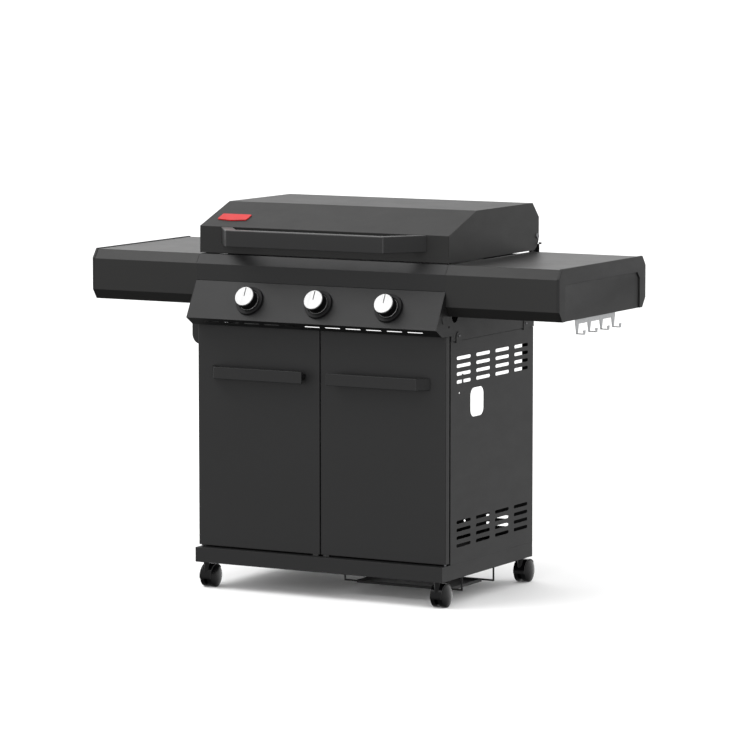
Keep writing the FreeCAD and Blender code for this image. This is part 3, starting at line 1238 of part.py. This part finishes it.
base_panel()
side_panels()
rear_panel()
frame_sides()
front_fascia()
control_panel()
body_rear_panel()
firebox()
burners()
flame_tamers()
cooking_grates()
grease_tray()
gas_manifold()
gas_valves()
for knob_index, knob_x in enumerate(KNOB_X):
    knob_parts(knob_index, knob_x)
knob_bezels()
hood_shell()
hood_sides()
hood_handle()
hood_hinge()
hinge_pins()
badge()
doors()
door_handles()
door_catch()
shelves()
shelf_end_caps()
hook_rail()
bottle_opener()
match_holder()
bottle_tray()
screws()
casters()
doc.recompute()

for item in doc.Objects:
    if "Invalid" in item.State or "Error" in item.State:
        raise RuntimeError(f"{item.Name} is not computed: {item.State}")
for item in NODES:
    if item.Shape.isNull() or not item.Shape.isValid() or not item.Shape.Solids:
        raise RuntimeError(f"{item.Label} has no valid solid")

os.makedirs("parts", exist_ok=True)
for item in NODES:
    item.Shape.exportStep(f"parts/{item.Label}.step")
print(f"{len(NODES)} sub-parts written")
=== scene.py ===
"""The looks of a gas barbecue grill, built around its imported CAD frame. Metres, same frame."""

import json
import math

import bmesh
import bpy
from mathutils import Matrix, Vector


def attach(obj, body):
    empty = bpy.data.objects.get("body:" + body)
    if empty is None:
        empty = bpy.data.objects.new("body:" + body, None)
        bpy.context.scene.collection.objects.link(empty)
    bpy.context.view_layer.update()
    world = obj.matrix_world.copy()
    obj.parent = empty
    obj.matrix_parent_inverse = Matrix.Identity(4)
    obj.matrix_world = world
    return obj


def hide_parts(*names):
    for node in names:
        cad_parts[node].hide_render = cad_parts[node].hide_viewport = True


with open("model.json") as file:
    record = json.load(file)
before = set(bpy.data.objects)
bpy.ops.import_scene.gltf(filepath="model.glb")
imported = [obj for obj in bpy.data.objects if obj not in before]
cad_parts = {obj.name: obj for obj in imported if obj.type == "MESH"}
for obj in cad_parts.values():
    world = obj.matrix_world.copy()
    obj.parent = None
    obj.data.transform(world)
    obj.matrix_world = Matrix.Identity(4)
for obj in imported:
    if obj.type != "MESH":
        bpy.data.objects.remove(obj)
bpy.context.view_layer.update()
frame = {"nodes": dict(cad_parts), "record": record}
BODIES = frame["record"]["behaviour"]["bodies"]
BODY_OF = {node: body for body, nodes in BODIES.items() for node in nodes}
SLOT_OF = {part["node"]: part["material_slot"] for part in frame["record"]["subparts"]}
JOINTS = {joint["name"]: joint for joint in frame["record"]["behaviour"]["joints"]}

# ------------------------------------------------------------------ procedural materials

# nearly all values of a noise texture lie between these two
NOISE_LOW, NOISE_HIGH = 0.3, 0.7


def new_material(name):
    """An empty node material with a principled shader and object coordinates."""
    material = bpy.data.materials.new(name)
    material.use_nodes = True
    tree = material.node_tree
    shader = tree.nodes["Principled BSDF"]
    coordinates = tree.nodes.new("ShaderNodeTexCoord")
    return material, tree, shader, coordinates.outputs["Object"]


def noise(tree, vector, scale, detail=3.0, roughness=0.5, stretch=None):
    """The value of a noise texture. Its grains get shorter along an axis with a larger stretch factor."""
    if stretch is not None:
        mapping = tree.nodes.new("ShaderNodeMapping")
        mapping.inputs["Scale"].default_value = stretch
        tree.links.new(vector, mapping.inputs["Vector"])
        vector = mapping.outputs["Vector"]
    texture = tree.nodes.new("ShaderNodeTexNoise")
    texture.inputs["Scale"].default_value = scale
    texture.inputs["Detail"].default_value = detail
    texture.inputs["Roughness"].default_value = roughness
    tree.links.new(vector, texture.inputs["Vector"])
    return texture.outputs["Fac"]


def remap(tree, value, low, high, start=NOISE_LOW, end=NOISE_HIGH):
    """A value between low and high as the input goes from start to end."""
    node = tree.nodes.new("ShaderNodeMapRange")
    for socket, number in zip(("From Min", "From Max", "To Min", "To Max"), (start, end, low, high)):
        node.inputs[socket].default_value = number
    tree.links.new(value, node.inputs["Value"])
    return node.outputs["Result"]


def tint(tree, value, dark, light):
    """A colour that goes from dark to light with a value."""
    ramp = tree.nodes.new("ShaderNodeValToRGB")
    ramp.color_ramp.elements[0].position = NOISE_LOW
    ramp.color_ramp.elements[1].position = NOISE_HIGH
    ramp.color_ramp.elements[0].color = (*dark, 1)
    ramp.color_ramp.elements[1].color = (*light, 1)
    tree.links.new(value, ramp.inputs["Fac"])
    return ramp.outputs["Color"]


def bump(tree, shader, heights):
    """Stack several bumps on the shader's normal, from (value, strength, distance in metres) sets."""
    normal = None
    for value, strength, distance in heights:
        node = tree.nodes.new("ShaderNodeBump")
        node.inputs["Strength"].default_value = strength
        node.inputs["Distance"].default_value = distance
        tree.links.new(value, node.inputs["Height"])
        if normal is not None:
            tree.links.new(normal, node.inputs["Normal"])
        normal = node.outputs["Normal"]
    tree.links.new(normal, shader.inputs["Normal"])


def shade(colour, spread):
    """A pair of colours a little darker and lighter than a colour."""
    return tuple(part * (1 - spread) for part in colour), tuple(part * (1 + spread) for part in colour)


def powder_coat(name, colour, roughness=0.5, grain=900.0, orange_peel=0.12, spread=0.05, specular=0.2):
    """Powder-coated steel: fine orange peel, faint clouding, and smears in the gloss."""
    material, tree, shader, where = new_material(name)
    clouds = noise(tree, where, scale=5.0, detail=4.0, roughness=0.6)
    speckle = noise(tree, where, scale=1600.0, detail=2.0)
    mixed = tree.nodes.new("ShaderNodeMix")
    mixed.data_type = "RGBA"
    mixed.inputs["Factor"].default_value = 0.35
    tree.links.new(tint(tree, clouds, *shade(colour, spread)), mixed.inputs["A"])
    tree.links.new(tint(tree, speckle, *shade(colour, spread * 2.2)), mixed.inputs["B"])
    tree.links.new(mixed.outputs["Result"], shader.inputs["Base Color"])
    smears = noise(tree, where, scale=14.0, detail=5.0, roughness=0.65, stretch=(1.0, 1.0, 2.2))
    tree.links.new(remap(tree, smears, roughness - 0.02, roughness + 0.02), shader.inputs["Roughness"])
    shader.inputs["Specular IOR Level"].default_value = specular
    fine = noise(tree, where, grain, detail=2.0, roughness=0.4)
    coarse = noise(tree, where, grain / 3.5, detail=2.0, roughness=0.5)
    bump(tree, shader, [(fine, orange_peel, 0.0002), (coarse, orange_peel * 0.6, 0.0004)])
    return material


def moulded_plastic(name, colour, roughness=0.45, texture=1400.0, strength=0.15, specular=0.5):
    """Moulded plastic: a fine spark texture and slight gloss changes."""
    material, tree, shader, where = new_material(name)
    base = noise(tree, where, scale=30.0)
    tree.links.new(tint(tree, base, *shade(colour, 0.12)), shader.inputs["Base Color"])
    gloss = noise(tree, where, scale=60.0, detail=4.0, roughness=0.6)
    tree.links.new(remap(tree, gloss, roughness - 0.05, roughness + 0.07), shader.inputs["Roughness"])
    shader.inputs["Specular IOR Level"].default_value = specular
    spark = noise(tree, where, texture, detail=2.0, roughness=0.6)
    bump(tree, shader, [(spark, strength, 0.00015)])
    return material


def worked_metal(name, colour, roughness=0.3, stretch=(1.0, 60.0, 60.0), scale=14.0, strength=0.08):
    """Bare metal with the fine lines of rolling, brushing or turning."""
    material, tree, shader, where = new_material(name)
    lines = noise(tree, where, scale, detail=6.0, roughness=0.7, stretch=stretch)
    patches = noise(tree, where, scale=9.0, detail=4.0)
    tree.links.new(tint(tree, patches, *shade(colour, 0.08)), shader.inputs["Base Color"])
    shader.inputs["Metallic"].default_value = 1.0
    tree.links.new(remap(tree, lines, roughness - 0.08, roughness + 0.1), shader.inputs["Roughness"])
    bump(tree, shader, [(lines, strength, 0.0001)])
    return material


def galvanised(name, colour, roughness):
    """Zinc-coated steel: faint spangles a few millimetres wide."""
    material, tree, shader, where = new_material(name)
    cells = tree.nodes.new("ShaderNodeTexVoronoi")
    cells.inputs["Scale"].default_value = 160.0
    tree.links.new(where, cells.inputs["Vector"])
    split = tree.nodes.new("ShaderNodeSeparateColor")
    tree.links.new(cells.outputs["Color"], split.inputs["Color"])
    spangle = split.outputs["Red"]
    tree.links.new(tint(tree, spangle, *shade(colour, 0.12)), shader.inputs["Base Color"])
    shader.inputs["Metallic"].default_value = 1.0
    gloss = remap(tree, spangle, roughness - 0.08, roughness + 0.12, start=0, end=1)
    tree.links.new(gloss, shader.inputs["Roughness"])
    bump(tree, shader, [(noise(tree, where, scale=700.0), 0.08, 0.0001)])
    return material


def cast_iron(name, colour):
    """Seasoned iron rods: pitted, with a dull brown-black bloom."""
    material, tree, shader, where = new_material(name)
    bloom = noise(tree, where, scale=40.0, detail=5.0, roughness=0.6)
    brown = (colour[0] * 1.5, colour[1] * 1.2, colour[2])
    tree.links.new(tint(tree, bloom, colour, brown), shader.inputs["Base Color"])
    tree.links.new(remap(tree, bloom, 0.45, 0.75), shader.inputs["Roughness"])
    pits = noise(tree, where, scale=500.0, detail=4.0, roughness=0.7)
    bump(tree, shader, [(pits, 0.35, 0.0003)])
    return material


# one material for each slot of the record: name, colour (linear), roughness
MATERIALS = {
    "powder_coat": powder_coat("powder_coat_body", (0.0084, 0.0084, 0.0086)),
    "panel_coat": powder_coat("powder_coat_panel", (0.0078, 0.0078, 0.0080), 0.46),
    "shelf_coat": powder_coat("powder_coat_shelf", (0.0086, 0.0085, 0.0083), 0.45),
    "hood_coat": powder_coat("powder_coat_hood", (0.0072, 0.0071, 0.0069), 0.52),
    # the doors get a lighter copy of the body's black coat: painted light that stands in for more light
    # falling on them
    "door_coat": powder_coat("powder_coat_door_painted_lighter", (0.0095, 0.0095, 0.0097), 0.5),
    "handle_coat": powder_coat("powder_coat_handle", (0.0084, 0.0084, 0.0086), 0.36, grain=1100.0),
    "enamel": powder_coat("vitreous_enamel", (0.009, 0.009, 0.0095), 0.2, grain=500.0, orange_peel=0.05,
                          spread=0.3, specular=0.4),
    "burner_steel": worked_metal("burner_steel", (0.42, 0.40, 0.37), 0.34),
    "grate_iron": cast_iron("seasoned_iron", (0.02, 0.018, 0.017)),
    "zinc_steel": galvanised("zinc_steel", (0.30, 0.305, 0.31), 0.4),
    "tray_aluminium": worked_metal("rolled_aluminium", (0.75, 0.75, 0.75), 0.36),
    "brass": worked_metal("machined_brass", (0.62, 0.42, 0.16), 0.28, stretch=(60.0, 60.0, 1.0)),
    "knob_plastic": moulded_plastic("knob_plastic", (0.0025, 0.0025, 0.0027), 0.42, specular=0.12),
    "bezel_plastic": moulded_plastic("bezel_plastic", (0.0055, 0.0055, 0.0058), 0.5, texture=900.0,
                                     strength=0.08, specular=0.12),
    "chrome_cap": worked_metal("satin_cap", (0.26, 0.26, 0.26), 0.4, stretch=(60.0, 1.0, 1.0),
                               scale=20.0, strength=0.04),
    "badge_red": moulded_plastic("badge_red", (0.34, 0.008, 0.009), 0.34, texture=800.0,
                                 strength=0.04, specular=0.12),
    "end_cap_plastic": powder_coat("powder_coat_end_cap", (0.0066, 0.0066, 0.0068), 0.52),
    "caster_plastic": moulded_plastic("caster_nylon", (0.0020, 0.0020, 0.0022), 0.2, strength=0.06,
                                      specular=0.11),
    "wheel_rubber": moulded_plastic("wheel_tread", (0.0018, 0.0018, 0.0020), 0.22, texture=700.0,
                                    strength=0.06, specular=0.14),
    "magnet": moulded_plastic("magnet_case", (0.010, 0.010, 0.010), 0.5),
    "fastener_steel": worked_metal("blackened_steel", (0.10, 0.10, 0.105), 0.36),
}

# ------------------------------------------------------------------ geometry helpers

# edges that turn by more than these, in degrees, are shaded sharp and get rounded
SHARP_ANGLE, ROUNDED_ANGLE = 35.0, 30.0
ROUND_SEGMENTS = 2
# vertices closer than this are one, and faces that turn by less are joined
WELD_DISTANCE, FLAT_ANGLE = 2e-6, 0.6


def give_material(piece, slot):
    """Cover a piece with the material of a slot."""
    piece.data.materials.clear()
    piece.data.materials.append(MATERIALS[slot])


def add_piece(name, mesh_builder, body, slot):
    """A new object from a bmesh, in a body's care and with a slot's material."""
    mesh = bpy.data.meshes.new(name)
    mesh_builder.to_mesh(mesh)
    mesh_builder.free()
    piece = bpy.data.objects.new(name, mesh)
    bpy.context.scene.collection.objects.link(piece)
    give_material(piece, slot)
    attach(piece, body)
    return piece


def smooth(piece, limit=SHARP_ANGLE):
    """Smooth shading with edges kept sharp beyond a limit in degrees."""
    mesh = piece.data
    mesh.shade_smooth()
    mesh.set_sharp_from_angle(angle=math.radians(limit))


def round_edges(piece, width):
    """Round a piece's sharp edges by width."""
    modifier = piece.modifiers.new("edge_round", "BEVEL")
    modifier.width = width
    modifier.segments = ROUND_SEGMENTS
    modifier.limit_method = "ANGLE"
    modifier.angle_limit = math.radians(ROUNDED_ANGLE)
    modifier.harden_normals = True
    modifier.use_clamp_overlap = True


def soften(node, width):
    """Stand in for a CAD node with the same shape, its edges rounded by width."""
    work = bmesh.new()
    work.from_mesh(frame["nodes"][node].data)
    bmesh.ops.remove_doubles(work, verts=work.verts, dist=WELD_DISTANCE)
    flat = math.radians(FLAT_ANGLE)
    bmesh.ops.dissolve_limit(work, angle_limit=flat, verts=work.verts, edges=work.edges)
    piece = add_piece(f"{node}_finished", work, BODY_OF[node], SLOT_OF[node])
    smooth(piece)
    round_edges(piece, width)
    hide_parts(node)


# radius of the rounded edges of each CAD node that shows them
EDGE_ROUND = {
    "base_panel": 0.0012,
    "side_panel_right": 0.0004,
    "side_panel_left": 0.0004,
    "rear_panel": 0.0004,
    "frame_side_right": 0.0004,
    "frame_side_left": 0.0004,
    "front_fascia": 0.0006,
    "control_panel": 0.0006,
    "hood_shell": 0.0007,
    "hood_side_right": 0.0005,
    "hood_side_left": 0.0005,
    "hood_handle": 0.0012,
    "door_left": 0.0006,
    "door_right": 0.0006,
    "door_handle_left": 0.0012,
    "door_handle_right": 0.0012,
    "shelf_right": 0.0006,
    "shelf_left": 0.0006,
    "shelf_end_cap_right": 0.0005,
    "shelf_end_cap_left": 0.0005,
    "hook_rail": 0.0006,
    "knob_bezels": 0.0005,
    "grease_tray": 0.0004,
    "bottle_opener": 0.0005,
    "hood_hinge_brackets": 0.0006,
    "gas_bottle_tray": 0.0003,
}

for name, piece in frame["nodes"].items():
    give_material(piece, SLOT_OF[name])
    smooth(piece)
for name, width in EDGE_ROUND.items():
    soften(name, width)

# ------------------------------------------------------------------ details on the knobs

KNOBS = (1, 2, 3)
KNOB_AXIS = Vector(JOINTS["knob_1_turn"]["axis"]).normalized()
KNOB_FEET = {number: Vector(JOINTS[f"knob_{number}_turn"]["pos_m"]) for number in KNOBS}
# heights along the knob's axis from the control panel, and radii of the trim ring
CAP_FACE = 0.0362
TRIM_LOW, TRIM_HIGH = 0.0084, 0.0092
TRIM_INNER, TRIM_OUTER = 0.0271, 0.0280
POINTER_LENGTH, POINTER_WIDTH, POINTER_THICKNESS = 0.0250, 0.0022, 0.0003
# steps round the trim ring, round the half of its section that shows, and round a pointer's end
RING_STEPS, SECTION_STEPS, POINTER_STEPS = 72, 6, 8
TRIM_SHARP_ANGLE = 60.0


def knob_frame(number, height):
    """A place on a knob's axis over the control panel, with Z along the axis and Y up the panel."""
    turn = Matrix((Vector((1, 0, 0)), KNOB_AXIS.cross(Vector((1, 0, 0))), KNOB_AXIS)).transposed()
    return Matrix.Translation(KNOB_FEET[number] + KNOB_AXIS * height) @ turn.to_4x4()


def ring(work, matrix, profile):
    """A closed ring of revolution about the matrix's Z, from (radius, height) points."""
    loops = []
    for step in range(RING_STEPS):
        angle = 2 * math.pi * step / RING_STEPS
        loops.append([work.verts.new(matrix @ Vector((r * math.cos(angle), r * math.sin(angle), h)))
                      for r, h in profile])
    for first, second in zip(loops, loops[1:] + loops[:1]):
        for index in range(len(profile)):
            after = (index + 1) % len(profile)
            work.faces.new((first[index], second[index], second[after], first[after]))


def pointer(work, matrix):
    """A thin round-ended bar from the matrix's origin along its Y."""
    radius = POINTER_WIDTH / 2
    outline = []
    for end, turn in ((POINTER_LENGTH - radius, 0), (radius, math.pi)):
        for step in range(POINTER_STEPS + 1):
            angle = turn + math.pi * step / POINTER_STEPS
            outline.append((math.cos(angle) * radius, end + math.sin(angle) * radius))
    low = [work.verts.new(matrix @ Vector((x, y, 0))) for x, y in outline]
    high = [work.verts.new(matrix @ Vector((x, y, POINTER_THICKNESS))) for x, y in outline]
    work.faces.new(high)
    work.faces.new(low[::-1])
    for index in range(len(outline)):
        after = (index + 1) % len(outline)
        work.faces.new((low[index], low[after], high[after], high[index]))


def trim_profile():
    """The trim ring's section: half an ellipse that bulges outwards, as (radius, height) points."""
    middle, half = (TRIM_LOW + TRIM_HIGH) / 2, (TRIM_HIGH - TRIM_LOW) / 2
    reach = TRIM_OUTER - TRIM_INNER
    angles = [math.pi * (step / SECTION_STEPS - 0.5) for step in range(SECTION_STEPS + 1)]
    return [(TRIM_INNER + reach * math.cos(angle), middle + half * math.sin(angle)) for angle in angles]


def knob_details():
    """A bright trim ring low on each knob's skirt and a dark pointer on its cap."""
    profile = trim_profile()
    for number in KNOBS:
        rim = bmesh.new()
        ring(rim, knob_frame(number, 0.0), profile)
        trim = add_piece(f"knob_trim_{number}", rim, f"knob_{number}", "chrome_cap")
        smooth(trim, TRIM_SHARP_ANGLE)
        line = bmesh.new()
        pointer(line, knob_frame(number, CAP_FACE))
        add_piece(f"knob_pointer_{number}", line, f"knob_{number}", "knob_plastic")


knob_details()

# ------------------------------------------------------------------ camera, light and floor

# metres and degrees; the lens and its sensor are in millimetres
CAMERA_PLACE = Vector((5.3523, -9.6351, 1.8022))
CAMERA_AZIMUTH, CAMERA_PITCH = 28.86, 6.387
FOCAL_LENGTH, SENSOR = 199.77, 36.0

# name: place, point aimed at, width and height, watts
SOFTBOXES = {
    "key_softbox": ((-1.45, -1.4, 3.2), (0, -0.2, 0.9), (2.6, 2.0), 74.0),
    "strip_softbox": ((0.55, -3.2, 0.8), (0, -0.3, 0.85), (0.3, 1.4), 24.0),
}

FLOOR_HALF = 400.0
FLOOR_DARK, FLOOR_LIGHT = (0.78, 0.78, 0.78), (0.79, 0.79, 0.79)
# light from below and from above, and the heights of direction between which one becomes the other
DIM_LIGHT, FULL_LIGHT = 0.2, 1.58
DIM_END, FULL_START = -0.5, -0.08


def add_camera():
    """A long lens from the front right, a little above the shelves."""
    data = bpy.data.cameras.new("camera")
    data.lens = FOCAL_LENGTH
    data.sensor_width = SENSOR
    data.clip_end = 100.0
    camera = bpy.data.objects.new("camera", data)
    camera.location = CAMERA_PLACE
    camera.rotation_euler = (math.radians(90 - CAMERA_PITCH), 0, math.radians(CAMERA_AZIMUTH))
    bpy.context.scene.collection.objects.link(camera)
    bpy.context.scene.camera = camera


def add_softbox(name, place, target, size, power):
    """A rectangular area light aimed at a point."""
    data = bpy.data.lights.new(name, "AREA")
    data.shape = "RECTANGLE"
    data.size, data.size_y = size
    data.energy = power
    light = bpy.data.objects.new(name, data)
    light.location = place
    light.rotation_euler = (Vector(target) - Vector(place)).to_track_quat("-Z", "Y").to_euler()
    bpy.context.scene.collection.objects.link(light)


def add_floor():
    """A large pale floor that takes shadows and throws no light back up."""
    work = bmesh.new()
    bmesh.ops.create_grid(work, x_segments=1, y_segments=1, size=FLOOR_HALF)
    mesh = bpy.data.meshes.new("floor")
    work.to_mesh(mesh)
    work.free()
    floor = bpy.data.objects.new("floor", mesh)
    bpy.context.scene.collection.objects.link(floor)
    material, tree, shader, where = new_material("pale_floor")
    patches = noise(tree, where, scale=0.6)
    tree.links.new(tint(tree, patches, FLOOR_DARK, FLOOR_LIGHT), shader.inputs["Base Color"])
    shader.inputs["Roughness"].default_value = 0.9
    mesh.materials.append(material)
    floor.visible_diffuse = False
    floor.visible_glossy = False


def add_world():
    """An even white light from above and the sides that fades to a dim one from below."""
    world = bpy.data.worlds.new("studio")
    world.use_nodes = True
    tree = world.node_tree
    directions = tree.nodes.new("ShaderNodeTexCoord")
    split = tree.nodes.new("ShaderNodeSeparateXYZ")
    tree.links.new(directions.outputs["Generated"], split.inputs["Vector"])
    strength = remap(tree, split.outputs["Z"], DIM_LIGHT, FULL_LIGHT, DIM_END, FULL_START)
    background = tree.nodes["Background"]
    background.inputs["Color"].default_value = (1.0, 1.0, 1.0, 1.0)
    tree.links.new(strength, background.inputs["Strength"])
    bpy.context.scene.world = world


add_camera()
add_world()
add_floor()
for name, (place, target, size, power) in SOFTBOXES.items():
    add_softbox(name, place, target, size, power)
bpy.context.scene.view_settings.view_transform = "Standard"
